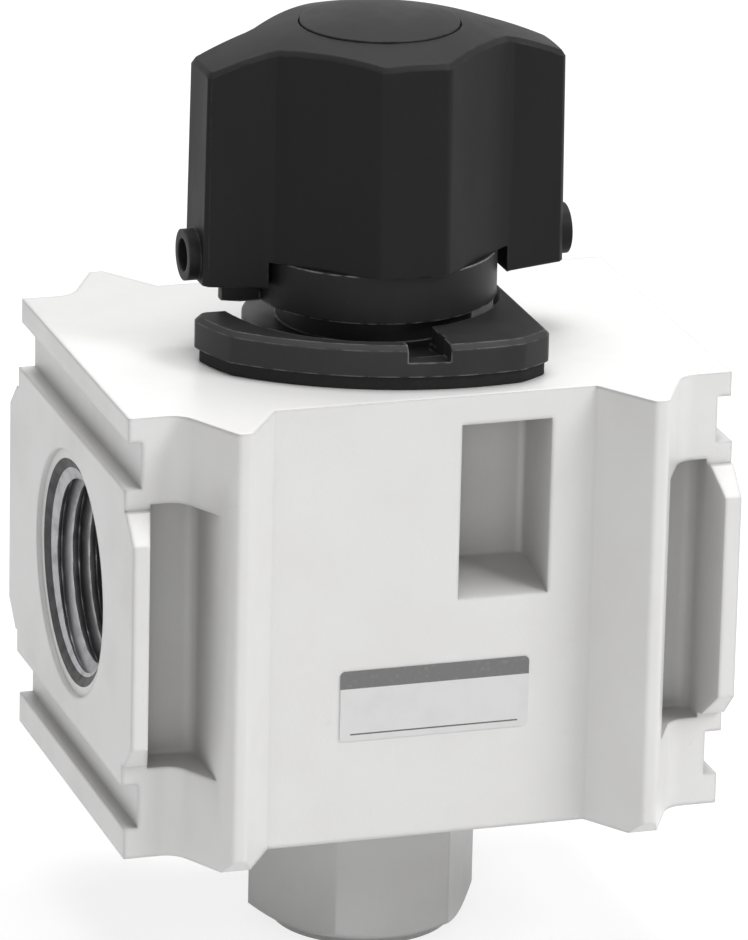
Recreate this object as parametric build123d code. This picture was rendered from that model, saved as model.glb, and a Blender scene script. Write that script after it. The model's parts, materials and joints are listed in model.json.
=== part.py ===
from build123d import *
import math
import os

# Residual pressure exhaust valve: a three-port shut-off valve for a modular air line.
# Frame: millimetres, +Z up along the knob axis, +X from the inlet port to the outlet port,
# -Y the label side, origin under the exhaust fitting on the knob axis.

# Body casting
module_width = 63.0
module_height = 46.0
plate_depth = 40.0
plate_inset = 0.3
core_depth = 42.0
ridge_depth = 54.4
ridge_peak_x = 20.7
ridge_flat = 1.4
ridge_foot_x = 16.6
ridge_root_x = 25.9
ridge_root_fillet = 2.6
ridge_peak_fillet = 0.6
ridge_end_chamfer = 1.4
top_plate_height = 2.5
top_groove_height = 4.8
bottom_plate_height = 3.2
bottom_groove_height = 4.6
groove_depth = 1.7

# Wedge bars that a joining clamp grips, and the recess behind them
bar_reach = 3.3
bar_base_width = 2.6
bar_tip_width = 1.7
bar_height = 26.4
bar_chamfer = 2.6
clamp_recess_depth = 3.4
clamp_recess_height = 27.6
clamp_recess_inner_x = 23.2
clamp_recess_fillet = 1.2

# Ports
port_thread_radius = 9.32
port_thread_length = 14.0
port_rim_radius = 12.6
port_rim_depth = 0.5
port_mouth_radius = 11.4
port_mouth_depth = 1.9
exhaust_thread_radius = 7.48
exhaust_thread_length = 11.4
exhaust_mouth_chamfer = 1.2

# Front finger pocket
pocket_left_x = 2.7
pocket_width = 9.4
pocket_top_gap = 3.0
pocket_height = 18.3
pocket_depth = 8.4
pocket_floor_rise = 1.5
pocket_fillet = 0.6

# Label
label_width = 19.7
label_height = 7.4
label_thickness = 0.15
label_center_x = 0.5
label_bottom = 10.75

# Valve chambers, measured from the underside of the body
spigot_radius = 11.4
spigot_length = 7.0
screw_clearance = 0.05
inlet_chamber_radius = 10.4
inlet_chamber_bottom = 28.6
seat_ring_radius = 9.6
seat_ring_height = 4.0
supply_seat_bore = 6.6
seat_lip_height = 0.6
seat_lip_width = 0.8
outlet_chamber_radius = 9.0
exhaust_seat_height = 13.6
exhaust_seat_bore = 6.6
exhaust_seat_thickness = 3.0
exhaust_relief_step = 1.4
fitting_bore_depth = 9.0
inlet_rise_radius = 3.7
inlet_rise_start_x = 18.0
inlet_rise_start_z = 27.4
inlet_rise_end_x = 7.5
inlet_rise_end_z = 35.4
outlet_pass_radius = 4.6
outlet_pass_height = 19.6

# Exhaust fitting
fitting_drop = 16.5
fitting_across_flats = 21.0
fitting_collar_radius = 9.6
fitting_collar_height = 0.6
fitting_collar_step = 0.3
fitting_thread_radius = 9.6
fitting_thread_length = 8.6
fitting_through_radius = 6.4
fitting_chamfer_angle = 30.0
fitting_seal_width = 1.6

# Bonnet and its fan-shaped guide plate, heights measured from the top of the body
gasket_thickness = 1.4
guide_floor = 2.3
guide_rim = 4.6
collar_radius = 13.3
trough_radius = 16.6
guide_radius = 18.1
guide_left_radius = 20.2
guide_right_radius = 21.0
guide_back_y = -2.2
guide_right_x = 13.3
guide_left_angle = -152.0
guide_right_angle = -62.0
guide_corner_fillet = 1.6
guide_edge_chamfer = 0.5
notch_half_width = 2.1
notch_floor = 2.9
boss_radius = 9.9
boss_gap = 0.4
gasket_inset = 0.35

# Stem and poppet
push_stroke = 2.2
stem_radius = 3.0
stem_shoulder_radius = 4.2
journal_radius = 2.9
journal_step = 13.2
stem_thread_radius = 2.2
stem_bore_gap = 0.6
stem_stop_gap = 0.5
bush_radius = 6.0
bush_length = 10.0
bush_flange_radius = 7.4
bush_flange_height = 1.2
rod_seal_height = 2.0
rod_seal_lip = 0.85
running_gap = 0.05
seat_gap = 0.02
seal_radius = 8.0
seal_thickness = 1.8
seal_face_gap = 0.1
poppet_hub_radius = 5.2
poppet_rim_inset = 0.4
poppet_rim_height = 0.8
retainer_radius = 5.7
retainer_thickness = 1.2

# Return spring and its lower guide
spring_outer_radius = 5.2
spring_wire = 0.9
spring_wire_sides = 6
spring_turns = 4
carrier_height = 2.4
carrier_radius = 7.8
carrier_rim_width = 1.05
carrier_hub_radius = 4.9
spoke_width = 1.8
spoke_count = 3

# Knob, heights measured from the top of the body
knob_rim = 29.2
knob_crown = 33.4
knob_wing_reach = 18.9
knob_wing_half_tip = 3.5
knob_wing_half_root = 4.5
knob_root_x = 12.5
knob_front_y = 13.1
knob_front_half = 3.5
knob_draft = 0.7
knob_skirt_bottom = 9.9
wing_bottom_root = 7.1
wing_bottom_tip = 7.6
knob_edge_chamfer = 0.45
knob_top_chamfer = 0.4
knob_cavity_radius = 10.0
knob_roof = 3.6
hub_radius = 5.6
cap_radius = 8.0
cap_thickness = 1.4
cap_proud = 0.15
cap_gap = 0.15
screw_well_radius = 5.2
screw_well_depth = 4.6
screw_radius = 1.6
washer_play = 0.5
washer_radius = 4.8
washer_thickness = 0.9
screw_head_radius = 3.6
screw_head_height = 2.6
screw_socket_flats = 2.5
screw_length = 7.0
screw_hole_length = 8.0
lock_hole_radius = 1.7
lock_boss_radius = 2.6
lock_boss_reach = 1.2
lock_boss_root = 1.4
lock_hole_height = 9.9

# Sleeve under the knob and the lock tab that runs in the guide trough
sleeve_radius = 12.35
sleeve_inner_radius = 10.5
sleeve_bottom = 5.0
sleeve_flange = 0.9
sleeve_edge_step = 0.4
sleeve_neck_wall = 1.6
sleeve_neck_height = 3.4
sleeve_clearance = 0.35
tab_tip_radius = 16.2
tab_half_width = 1.3
tab_point_length = 1.8
tab_point_half = 0.5
tab_height = 1.9
tab_clearance = 0.5

# Seal rings, and the play each has in its groove
bonnet_seal_section = 0.9
seat_seal_section = 0.7
seal_play = 0.02
seal_ring_sides = 8

# Derived places
half_width = module_width / 2
body_bottom = fitting_drop
body_top = body_bottom + module_height
pad_bottom = body_bottom + bottom_plate_height + bottom_groove_height
pad_top = body_top - top_plate_height - top_groove_height
port_height = (pad_bottom + pad_top) / 2
plate_x = half_width - plate_inset
seat_ring_bottom = body_bottom + inlet_chamber_bottom - seat_ring_height
exhaust_lip_top = body_bottom + exhaust_seat_height
supply_seal_top = seat_ring_bottom - seat_lip_height - seat_gap
exhaust_seal_bottom = exhaust_lip_top + seat_lip_height + push_stroke + seal_face_gap
bonnet_bottom = body_top - spigot_length
bonnet_seal_height = bonnet_bottom + spigot_length / 3
boss_height = knob_skirt_bottom - sleeve_flange - push_stroke - boss_gap
boss_top = body_top + boss_height
carrier_bottom = body_bottom + fitting_thread_length - carrier_height
tab_angle = math.degrees(math.asin((tab_half_width + tab_clearance) / sleeve_radius))
trough_start_angle = -180.0 - tab_angle
trough_end_angle = -90.0 + tab_angle
bush_bottom = boss_top - bush_length
shoulder_top = body_top + journal_step
hub_bottom = shoulder_top + running_gap
crown_z = body_top + knob_crown
crown_rise = knob_crown - knob_rim
crown_radius = (knob_wing_reach**2 + crown_rise**2) / (2 * crown_rise)
cap_bottom = crown_z - cap_thickness
well_bottom = cap_bottom - screw_well_depth
clear_of_faces = 1.0
near = 0.01


def ring(outer, inner, bottom, height):
    """A plain tube standing on the knob axis."""
    tube = Cylinder(outer, height) - Cylinder(inner, height + 2 * clear_of_faces)
    return Pos(0, 0, bottom + height / 2) * tube


def rod(radius, bottom, height):
    """A plain rod on the knob axis."""
    return Pos(0, 0, bottom + height / 2) * Cylinder(radius, height)


def block(x0, x1, y0, y1, z0, z1):
    """A box between two corners."""
    center = Pos((x0 + x1) / 2, (y0 + y1) / 2, (z0 + z1) / 2)
    return center * Box(abs(x1 - x0), abs(y1 - y0), abs(z1 - z0))


def o_ring(groove_root, height, groove_width):
    """A seal ring of many-sided section that fills a square groove on the knob axis."""
    section = RegularPolygon(groove_width / 2 - seal_play, seal_ring_sides, major_radius=False,
                             rotation=180 / seal_ring_sides)
    return revolve(Plane.XZ * (Pos(groove_root + groove_width / 2, height) * section), Axis.Z)


def o_ring_groove(outer, height, groove_width):
    """The square groove cut into a spigot of the given radius."""
    return ring(outer + clear_of_faces, outer - groove_width, height - groove_width / 2, groove_width)


def on_circle(radius, angle):
    """The point of a circle about the knob axis at an angle in degrees."""
    return (radius * math.cos(math.radians(angle)), radius * math.sin(math.radians(angle)))


def prism(points, bottom, height):
    """An upright prism over an outline in plan."""
    return Pos(0, 0, bottom) * extrude(Polygon(*points, align=None), height, dir=(0, 0, 1))


def side_profile(points, x0, x1):
    """A prism along X over an outline given as (y, z)."""
    face = Plane.YZ * Polygon(*points, align=None)
    return Pos(x0, 0, 0) * extrude(face, x1 - x0, dir=(1, 0, 0))


def hexagon(across_flats, bottom, height):
    """A hexagonal bar with two flats facing +Y and -Y."""
    plan = RegularPolygon(across_flats / 2, 6, major_radius=False)
    return Pos(0, 0, bottom) * extrude(plan, height)


def body_plan():
    """Plan outline of the casting: core, end plates and the four corner ridges."""
    core_y = core_depth / 2
    plate_y = plate_depth / 2
    peak_y = ridge_depth / 2
    quarter = [
        (ridge_foot_x, core_y),
        (ridge_peak_x, peak_y),
        (ridge_peak_x + ridge_flat, peak_y),
        (ridge_root_x, plate_y),
        (plate_x, plate_y),
    ]
    mirrored = [(-x, y) for x, y in reversed(quarter)]
    back = mirrored + quarter
    front = [(x, -y) for x, y in reversed(back)]
    plan = Polygon(*(back + front), align=None)
    roots = [v for v in plan.vertices() if abs(abs(v.X) - ridge_root_x) < near]
    plan = fillet(roots, ridge_root_fillet)
    peaks = [v for v in plan.vertices() if abs(abs(v.Y) - peak_y) < near]
    return fillet(peaks, ridge_peak_fillet)


def clamp_bar(side, facing):
    """One wedge bar on the edge of an end plate, with sloped ends."""
    plate_y = plate_depth / 2
    outer = half_width
    section = [
        (outer, plate_y - clear_of_faces),
        (outer, plate_y + bar_reach),
        (outer - bar_tip_width, plate_y + bar_reach),
        (outer - bar_base_width, plate_y),
        (outer - bar_base_width, plate_y - clear_of_faces),
    ]
    bar = prism([(side * x, facing * y) for x, y in section], port_height - bar_height / 2, bar_height)
    outer_y = plate_y + bar_reach + clear_of_faces
    outer_z = bar_height / 2 + clear_of_faces
    leg = bar_chamfer + 2 * clear_of_faces
    for end in (-1, 1):
        corner = [
            (facing * outer_y, port_height + end * outer_z),
            (facing * outer_y, port_height + end * (outer_z - leg)),
            (facing * (outer_y - leg), port_height + end * outer_z),
        ]
        bar -= side_profile(corner, -half_width - clear_of_faces, half_width + clear_of_faces)
    return bar


def clamp_recess(side, facing):
    """The pocket between an end plate and its ridge, behind a wedge bar."""
    outer_x = half_width - bar_base_width
    inner_y = plate_depth / 2 - clamp_recess_depth
    depth = ridge_depth / 2 - inner_y + clear_of_faces
    pocket = Box(outer_x - clamp_recess_inner_x, depth, clamp_recess_height)
    pocket = fillet(pocket.edges().filter_by(Axis.Z), clamp_recess_fillet)
    center_x = (outer_x + clamp_recess_inner_x) / 2
    return Pos(side * center_x, facing * (inner_y + depth / 2), port_height) * pocket


def port_cut(side):
    """Thread bore with its countersunk mouth and the shallow rim step, cut from one end."""
    face_x = half_width
    bore = Cylinder(port_thread_radius, port_thread_length)
    bore = Pos(face_x - port_thread_length / 2, 0, port_height) * (Rot(0, 90, 0) * bore)
    mouth = Cone(port_thread_radius, port_mouth_radius, port_mouth_depth)
    mouth = Pos(face_x - port_mouth_depth / 2, 0, port_height) * (Rot(0, 90, 0) * mouth)
    rim = Cylinder(port_rim_radius, 2 * port_rim_depth)
    rim = Pos(face_x, 0, port_height) * (Rot(0, 90, 0) * rim)
    cut = bore + mouth + rim
    return cut if side > 0 else mirror(cut, Plane.YZ)


def side_grooves(side):
    """The two grooves across an end face, above and below the port pad."""
    inner = half_width - groove_depth
    outer = half_width + clear_of_faces
    reach = ridge_depth
    upper = block(side * inner, side * outer, -reach, reach, pad_top, pad_top + top_groove_height)
    lower = block(side * inner, side * outer, -reach, reach,
                  pad_bottom - bottom_groove_height, pad_bottom)
    return upper + lower


def front_pocket():
    """The finger pocket in the label side, its floor rising inwards."""
    face_y = -core_depth / 2
    top = body_top - pocket_top_gap
    floor = top - pocket_height
    inner_y = face_y + pocket_depth
    outline = [
        (face_y - clear_of_faces, floor),
        (face_y, floor),
        (inner_y, floor + pocket_floor_rise),
        (inner_y, top),
        (face_y - clear_of_faces, top),
    ]
    pocket = side_profile(outline, pocket_left_x, pocket_left_x + pocket_width)
    inner_edges = pocket.edges().filter_by(Axis.Z).sort_by(Axis.Y)[-2:]
    return fillet(inner_edges, pocket_fillet)


def chambers():
    """The inside passages: bonnet bore, inlet and outlet chambers, and the exhaust bore."""
    low = body_bottom
    spigot_bore = rod(spigot_radius + screw_clearance, bonnet_bottom, spigot_length + clear_of_faces)
    inlet_floor = low + inlet_chamber_bottom
    inlet = rod(inlet_chamber_radius, inlet_floor, bonnet_bottom - inlet_floor)
    seat_pocket = rod(seat_ring_radius + screw_clearance, seat_ring_bottom, seat_ring_height)
    outlet_floor = exhaust_lip_top
    outlet = rod(outlet_chamber_radius, outlet_floor, seat_ring_bottom - outlet_floor)
    seat_hole = rod(exhaust_seat_bore, outlet_floor - exhaust_seat_thickness - clear_of_faces,
                    exhaust_seat_thickness + 2 * clear_of_faces)
    relief = rod(exhaust_seat_bore + exhaust_relief_step, low + fitting_bore_depth,
                 exhaust_seat_height - exhaust_seat_thickness - fitting_bore_depth)
    fitting_bore = rod(fitting_thread_radius + screw_clearance, low - clear_of_faces,
                       fitting_bore_depth + clear_of_faces)
    rise = math.hypot(inlet_rise_start_x - inlet_rise_end_x, inlet_rise_end_z - inlet_rise_start_z)
    tilt = math.degrees(math.atan2(inlet_rise_start_x - inlet_rise_end_x,
                                   inlet_rise_end_z - inlet_rise_start_z))
    passage = Pos(-(inlet_rise_start_x + inlet_rise_end_x) / 2, 0,
                  low + (inlet_rise_start_z + inlet_rise_end_z) / 2)
    inlet_rise = passage * (Rot(0, tilt, 0) * Cylinder(inlet_rise_radius, rise))
    outlet_pass = Pos(half_width / 2, 0, low + outlet_pass_height)
    outlet_bore = outlet_pass * (Rot(0, 90, 0) * Cylinder(outlet_pass_radius, half_width / 2))
    return spigot_bore + inlet + seat_pocket + outlet + seat_hole + relief + fitting_bore \
        + inlet_rise + outlet_bore


def ridge_foot_cut(side, facing):
    """The slope across the foot of a corner ridge."""
    outer_y = ridge_depth / 2 + clear_of_faces
    low = body_bottom - clear_of_faces
    leg = ridge_end_chamfer + 2 * clear_of_faces
    wedge = [
        (facing * outer_y, low),
        (facing * outer_y, low + leg),
        (facing * (outer_y - leg), low),
    ]
    edges = sorted((side * ridge_foot_x, side * ridge_root_x))
    return side_profile(wedge, edges[0], edges[1])


def make_body():
    """The die-cast valve body."""
    casting = Pos(0, 0, body_bottom) * extrude(body_plan(), module_height, dir=(0, 0, 1))
    pad_half = plate_depth / 2
    for side in (-1, 1):
        pad = block(side * (plate_x - clear_of_faces), side * half_width,
                    -pad_half, pad_half, pad_bottom, pad_top)
        casting += pad
    for side in (-1, 1):
        casting -= side_grooves(side)
        for facing in (-1, 1):
            casting -= clamp_recess(side, facing)
            casting += clamp_bar(side, facing)
        casting -= port_cut(side)
    casting -= front_pocket()
    for side in (-1, 1):
        for facing in (-1, 1):
            casting -= ridge_foot_cut(side, facing)
    casting -= chambers()
    lip = ring(exhaust_seat_bore + seat_lip_width, exhaust_seat_bore, exhaust_lip_top, seat_lip_height)
    return casting + lip


def guide_plan(inset=0.0):
    """Plan of the fan-shaped guide plate: a left lug, a bowed front and a right lug."""
    left = guide_left_radius - inset
    right = guide_right_radius - inset
    front = guide_radius - inset
    back_y = guide_back_y - inset
    side_x = guide_right_x - inset
    back_angle = -180.0 - math.degrees(math.asin(back_y / left))
    side_angle = -math.degrees(math.acos(side_x / right))
    lug_left = on_circle(left, guide_left_angle)
    lug_right = on_circle(right, guide_right_angle)
    edge = [
        Line((0, back_y), on_circle(left, back_angle)),
        ThreePointArc(on_circle(left, back_angle), on_circle(left, (back_angle + guide_left_angle) / 2), lug_left),
        ThreePointArc(lug_left, on_circle(front, (guide_left_angle + guide_right_angle) / 2), lug_right),
        ThreePointArc(lug_right, on_circle(right, (guide_right_angle + side_angle) / 2),
                      on_circle(right, side_angle)),
        Line(on_circle(right, side_angle), (side_x, 0)),
        Line((side_x, 0), (0, 0)),
        Line((0, 0), (0, back_y)),
    ]
    fan = make_face(edge)
    corners = [v for v in fan.vertices() if math.hypot(v.X, v.Y) > front - near]
    return fillet(corners, guide_corner_fillet)


def lock_trough():
    """The sunk track of the lock tab: a quarter ring with room for the tab at both ends."""
    floor = body_top + guide_floor
    reach = 2 * guide_right_radius
    middle = (trough_start_angle + trough_end_angle) / 2
    sector = [(0, 0)] + [on_circle(reach, a) for a in (trough_start_angle, middle, trough_end_angle)]
    return ring(trough_radius, boss_radius, floor, guide_rim) & prism(sector, body_top, reach)


def make_bonnet():
    """Bonnet: threaded spigot, guide boss for the stem and the fan-shaped guide plate."""
    plate_bottom = body_top + gasket_thickness
    floor = body_top + guide_floor
    rim = body_top + guide_rim
    plate = Pos(0, 0, plate_bottom) * extrude(guide_plan(), rim - plate_bottom, dir=(0, 0, 1))
    plate = chamfer(plate.edges().group_by(Axis.Z)[-1], guide_edge_chamfer)
    plate -= lock_trough()
    plate -= rod(sleeve_radius + sleeve_clearance, floor, guide_rim)
    plate -= block(-notch_half_width, notch_half_width, -guide_radius - clear_of_faces, -sleeve_radius,
                   body_top + notch_floor, rim + clear_of_faces)
    collar = rod(collar_radius, plate_bottom, floor - plate_bottom)
    spigot = rod(spigot_radius, bonnet_bottom, spigot_length + gasket_thickness)
    boss = rod(boss_radius, body_top, boss_height)
    bonnet = plate + collar + spigot + boss
    bonnet -= rod(stem_shoulder_radius + stem_bore_gap, bonnet_bottom - clear_of_faces,
                  spigot_length + boss_height)
    bonnet -= rod(bush_radius + screw_clearance, bush_bottom, bush_length + clear_of_faces)
    bonnet -= rod(bush_flange_radius + screw_clearance, boss_top - bush_flange_height,
                  bush_flange_height + clear_of_faces)
    return bonnet - o_ring_groove(spigot_radius, bonnet_seal_height, bonnet_seal_section)


def make_bonnet_gasket():
    """Flat base ring under the guide plate, of the same outline, a little smaller."""
    plan = guide_plan(gasket_inset) + Circle(collar_radius - gasket_inset)
    sheet = Pos(0, 0, body_top) * extrude(plan, gasket_thickness, dir=(0, 0, 1))
    return sheet - rod(spigot_radius + screw_clearance, body_top - clear_of_faces,
                       gasket_thickness + 2 * clear_of_faces)


def make_bonnet_seal():
    """Seal ring in the groove of the bonnet spigot."""
    return o_ring(spigot_radius - bonnet_seal_section, bonnet_seal_height, bonnet_seal_section)


def make_guide_bush():
    """Flanged bush that guides the stem in the bonnet."""
    bush = rod(bush_radius, bush_bottom + rod_seal_height, bush_length - rod_seal_height)
    bush += rod(bush_flange_radius, boss_top - bush_flange_height, bush_flange_height)
    return bush - rod(stem_radius + running_gap, bush_bottom - clear_of_faces, 2 * bush_length)


def make_rod_seal():
    """Lip seal below the bush."""
    seal = ring(bush_radius, stem_radius + running_gap, bush_bottom, rod_seal_height - running_gap)
    groove = ring(bush_radius - rod_seal_lip, stem_radius + running_gap + rod_seal_lip,
                  bush_bottom - clear_of_faces, rod_seal_height / 2 + clear_of_faces)
    return seal - groove


def make_supply_seat():
    """Pressed-in ring with a raised lip that the supply seal closes on."""
    seat = ring(seat_ring_radius, supply_seat_bore, seat_ring_bottom, seat_ring_height)
    lip = ring(supply_seat_bore + seat_lip_width, supply_seat_bore,
               seat_ring_bottom - seat_lip_height, seat_lip_height)
    middle = seat_ring_bottom + seat_ring_height / 2
    return seat + lip - o_ring_groove(seat_ring_radius, middle, seat_seal_section)


def make_seat_seal():
    """Seal ring around the supply seat."""
    middle = seat_ring_bottom + seat_ring_height / 2
    return o_ring(seat_ring_radius - seat_seal_section, middle, seat_seal_section)


def make_exhaust_fitting():
    """Hexagon exhaust boss with a short threaded shank and a thread bore from below."""
    hex_part = hexagon(fitting_across_flats, fitting_collar_height, fitting_drop - fitting_collar_height)
    corner_radius = fitting_across_flats / math.sqrt(3)
    rise = (corner_radius - fitting_collar_radius) * math.tan(math.radians(fitting_chamfer_angle))
    turned = Cone(fitting_collar_radius, corner_radius, rise)
    envelope = Pos(0, 0, fitting_collar_height + rise / 2) * turned
    envelope += rod(corner_radius + clear_of_faces, fitting_collar_height + rise, fitting_drop)
    fitting = hex_part & envelope
    fitting += rod(fitting_collar_radius - fitting_collar_step, 0, fitting_collar_height)
    shank = rod(fitting_thread_radius, body_bottom, fitting_thread_length)
    shank -= o_ring_groove(fitting_thread_radius, body_bottom + fitting_seal_width / 2, fitting_seal_width)
    fitting += shank
    fitting -= rod(fitting_through_radius, -clear_of_faces, 2 * body_bottom)
    fitting -= rod(exhaust_thread_radius, -clear_of_faces, exhaust_thread_length + clear_of_faces)
    fitting -= Pos(0, 0, exhaust_mouth_chamfer / 2) * Cone(
        exhaust_thread_radius + exhaust_mouth_chamfer, exhaust_thread_radius, exhaust_mouth_chamfer)
    return fitting - rod(carrier_radius, carrier_bottom, carrier_height + clear_of_faces)


def make_fitting_seal():
    """Seal ring in the undercut at the root of the fitting shank."""
    return o_ring(fitting_thread_radius - fitting_seal_width, body_bottom + fitting_seal_width / 2,
                  fitting_seal_width)


def make_spring_guide():
    """Spoked guide in the top of the fitting that carries the spring and steadies the stem."""
    outer = carrier_radius - screw_clearance
    guide = ring(outer, outer - carrier_rim_width, carrier_bottom, carrier_height)
    hub_bore = stem_thread_radius + running_gap
    guide += ring(carrier_hub_radius, hub_bore, carrier_bottom, carrier_height)
    spoke_start = (carrier_hub_radius + hub_bore) / 2
    spoke_end = outer - carrier_rim_width / 2
    for index in range(spoke_count):
        spoke = block(spoke_start, spoke_end, -spoke_width / 2, spoke_width / 2,
                      carrier_bottom, carrier_bottom + carrier_height)
        guide += Rot(0, 0, index * 360 / spoke_count) * spoke
    return guide


def make_label():
    """Thin blank plate on the front face."""
    left = label_center_x - label_width / 2
    low = body_bottom + label_bottom
    face_y = -core_depth / 2
    return block(left, left + label_width, face_y - label_thickness, face_y, low, low + label_height)


def make_return_spring():
    """Compression spring between the lower guide and the poppet."""
    bottom = body_bottom + fitting_thread_length
    top = exhaust_seal_bottom - retainer_thickness
    height = top - bottom - spring_wire
    path_radius = spring_outer_radius - spring_wire / 2
    helix = Helix(height / spring_turns, height, path_radius)
    wire = RegularPolygon(spring_wire / 2, spring_wire_sides)
    section = Plane(origin=helix @ 0, z_dir=helix % 0) * wire
    return Pos(0, 0, bottom + spring_wire / 2) * sweep(section, path=helix)


def make_stem():
    """Stem: pilot, poppet seat, main rod, shoulder and the journal that the knob turns on."""
    stem = rod(stem_thread_radius, carrier_bottom, supply_seal_top - carrier_bottom)
    collar_bottom = boss_top + push_stroke + stem_stop_gap
    stem += rod(stem_radius, supply_seal_top, collar_bottom - supply_seal_top)
    stem += rod(stem_shoulder_radius, collar_bottom, shoulder_top - collar_bottom)
    stem += rod(journal_radius, shoulder_top, well_bottom + running_gap - shoulder_top)
    return stem - rod(screw_radius + screw_clearance, well_bottom - screw_hole_length, 2 * screw_hole_length)


def make_poppet():
    """Poppet carrier between the two rubber discs."""
    low = exhaust_seal_bottom + seal_thickness
    high = supply_seal_top - seal_thickness
    bore = stem_thread_radius + screw_clearance
    rim = seal_radius - poppet_rim_inset
    profile = [
        (bore, low),
        (rim, low),
        (rim, low + poppet_rim_height),
        (poppet_hub_radius, (low + high) / 2),
        (rim, high - poppet_rim_height),
        (rim, high),
        (bore, high),
    ]
    return revolve(Plane.XZ * Polygon(*profile, align=None), Axis.Z)


def make_seal_disc(bottom):
    """Rubber disc of the poppet."""
    return ring(seal_radius, stem_thread_radius + screw_clearance, bottom, seal_thickness)


def make_poppet_washer():
    """Retaining washer under the lower rubber disc, the upper seat of the return spring."""
    return ring(retainer_radius, stem_thread_radius + screw_clearance,
                exhaust_seal_bottom - retainer_thickness, retainer_thickness)


def knob_plan():
    """Plan of the knob at the foot of its wings: an octagonal grip with two wings."""
    quarter = [
        (knob_wing_reach, knob_wing_half_tip),
        (knob_root_x, knob_wing_half_root),
        (knob_front_half, knob_front_y),
    ]
    upper = quarter + [(-x, y) for x, y in reversed(quarter)]
    lower = [(-x, -y) for x, y in upper]
    plan = Polygon(*(upper + lower), align=None)
    return chamfer(plan.vertices(), knob_edge_chamfer)


def crown_dome(lift=0.0):
    """The large ball whose top is the crown of the knob."""
    return Pos(0, 0, crown_z - crown_radius + lift) * Sphere(crown_radius)


def wing_underside(side, foot):
    """What is cut away below a wing: its underside drops towards the grip."""
    root_x = side * (knob_root_x - clear_of_faces)
    tip_x = side * (knob_wing_reach + 2 * clear_of_faces)
    under = [
        (root_x, body_top + wing_bottom_root),
        (tip_x, body_top + wing_bottom_tip),
        (tip_x, foot - clear_of_faces),
        (root_x, foot - clear_of_faces),
    ]
    return extrude(Plane.XZ * Polygon(*under, align=None), knob_wing_reach, both=True)


def lock_boss(side, radius, overrun):
    """The round boss at the foot of a wing, or with another radius the blind hole in it."""
    root_x = knob_root_x + lock_boss_root
    tip_x = knob_wing_reach + lock_boss_reach + overrun
    place = Pos(side * (root_x + tip_x) / 2, 0, body_top + lock_hole_height)
    return place * (Rot(0, 90, 0) * Cylinder(radius, tip_x - root_x))


def make_knob():
    """Push-and-turn knob: winged grip with a domed crown, hollow below, with a hub for the stem."""
    foot = body_top + wing_bottom_root - clear_of_faces
    height = knob_crown - wing_bottom_root + 2 * clear_of_faces
    grip = Pos(0, 0, foot) * extrude(knob_plan(), height, taper=knob_draft)
    grip &= crown_dome()
    top_edges = [edge for edge in grip.edges() if edge.center().Z > body_top + knob_rim - clear_of_faces]
    grip = chamfer(top_edges, knob_top_chamfer)
    skirt = body_top + knob_skirt_bottom
    grip -= block(-knob_root_x, knob_root_x, -knob_wing_reach, knob_wing_reach, foot - clear_of_faces, skirt)
    for side in (-1, 1):
        grip -= wing_underside(side, foot)
        grip += lock_boss(side, lock_boss_radius, 0)
        grip -= lock_boss(side, lock_hole_radius, clear_of_faces)
    cavity_top = well_bottom - knob_roof
    cavity = rod(knob_cavity_radius, skirt - clear_of_faces, cavity_top - skirt + clear_of_faces)
    hub = rod(hub_radius, hub_bottom, cavity_top - hub_bottom + clear_of_faces)
    grip -= cavity - hub
    grip -= rod(journal_radius + running_gap, shoulder_top - clear_of_faces, knob_crown)
    grip -= rod(screw_well_radius, well_bottom, knob_crown)
    return grip - rod(cap_radius + cap_gap, cap_bottom, knob_crown)


def make_knob_cap():
    """Round cap set in the crown."""
    return rod(cap_radius, cap_bottom, cap_thickness + clear_of_faces) & crown_dome(cap_proud)


def make_knob_sleeve():
    """Sleeve below the grip that hides the guide boss, with a short neck inside the grip."""
    bottom = body_top + sleeve_bottom
    top = body_top + knob_skirt_bottom
    neck_outer = knob_cavity_radius - screw_clearance
    neck_inner = neck_outer - sleeve_neck_wall
    sleeve = ring(sleeve_radius, sleeve_inner_radius, bottom, top - bottom)
    sleeve += ring(sleeve_radius - sleeve_edge_step, neck_inner, top - sleeve_flange, sleeve_flange)
    return sleeve + ring(neck_outer, neck_inner, top - sleeve_flange, sleeve_neck_height)


def make_lock_tab():
    """Arrow-shaped tab on the sleeve that runs in the trough of the guide plate."""
    shoulder = tab_tip_radius - tab_point_length
    arrow = [
        (-sleeve_inner_radius, -tab_half_width),
        (-shoulder, -tab_half_width),
        (-tab_tip_radius, -tab_point_half),
        (-tab_tip_radius, tab_point_half),
        (-shoulder, tab_half_width),
        (-sleeve_inner_radius, tab_half_width),
    ]
    tab = prism(arrow, body_top + sleeve_bottom, tab_height)
    return tab - rod(sleeve_radius + screw_clearance, body_top, knob_skirt_bottom)


def make_knob_washer():
    """Washer that keeps the knob on its journal."""
    return ring(washer_radius, screw_radius + washer_play, well_bottom + running_gap, washer_thickness)


def make_knob_screw():
    """Socket head screw that holds the washer to the stem."""
    seat = well_bottom + running_gap + washer_thickness
    screw = rod(screw_head_radius, seat, screw_head_height)
    screw += rod(screw_radius, seat - screw_length, screw_length + clear_of_faces)
    return screw - hexagon(screw_socket_flats, seat + screw_head_height / 2, screw_head_height)


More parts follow.
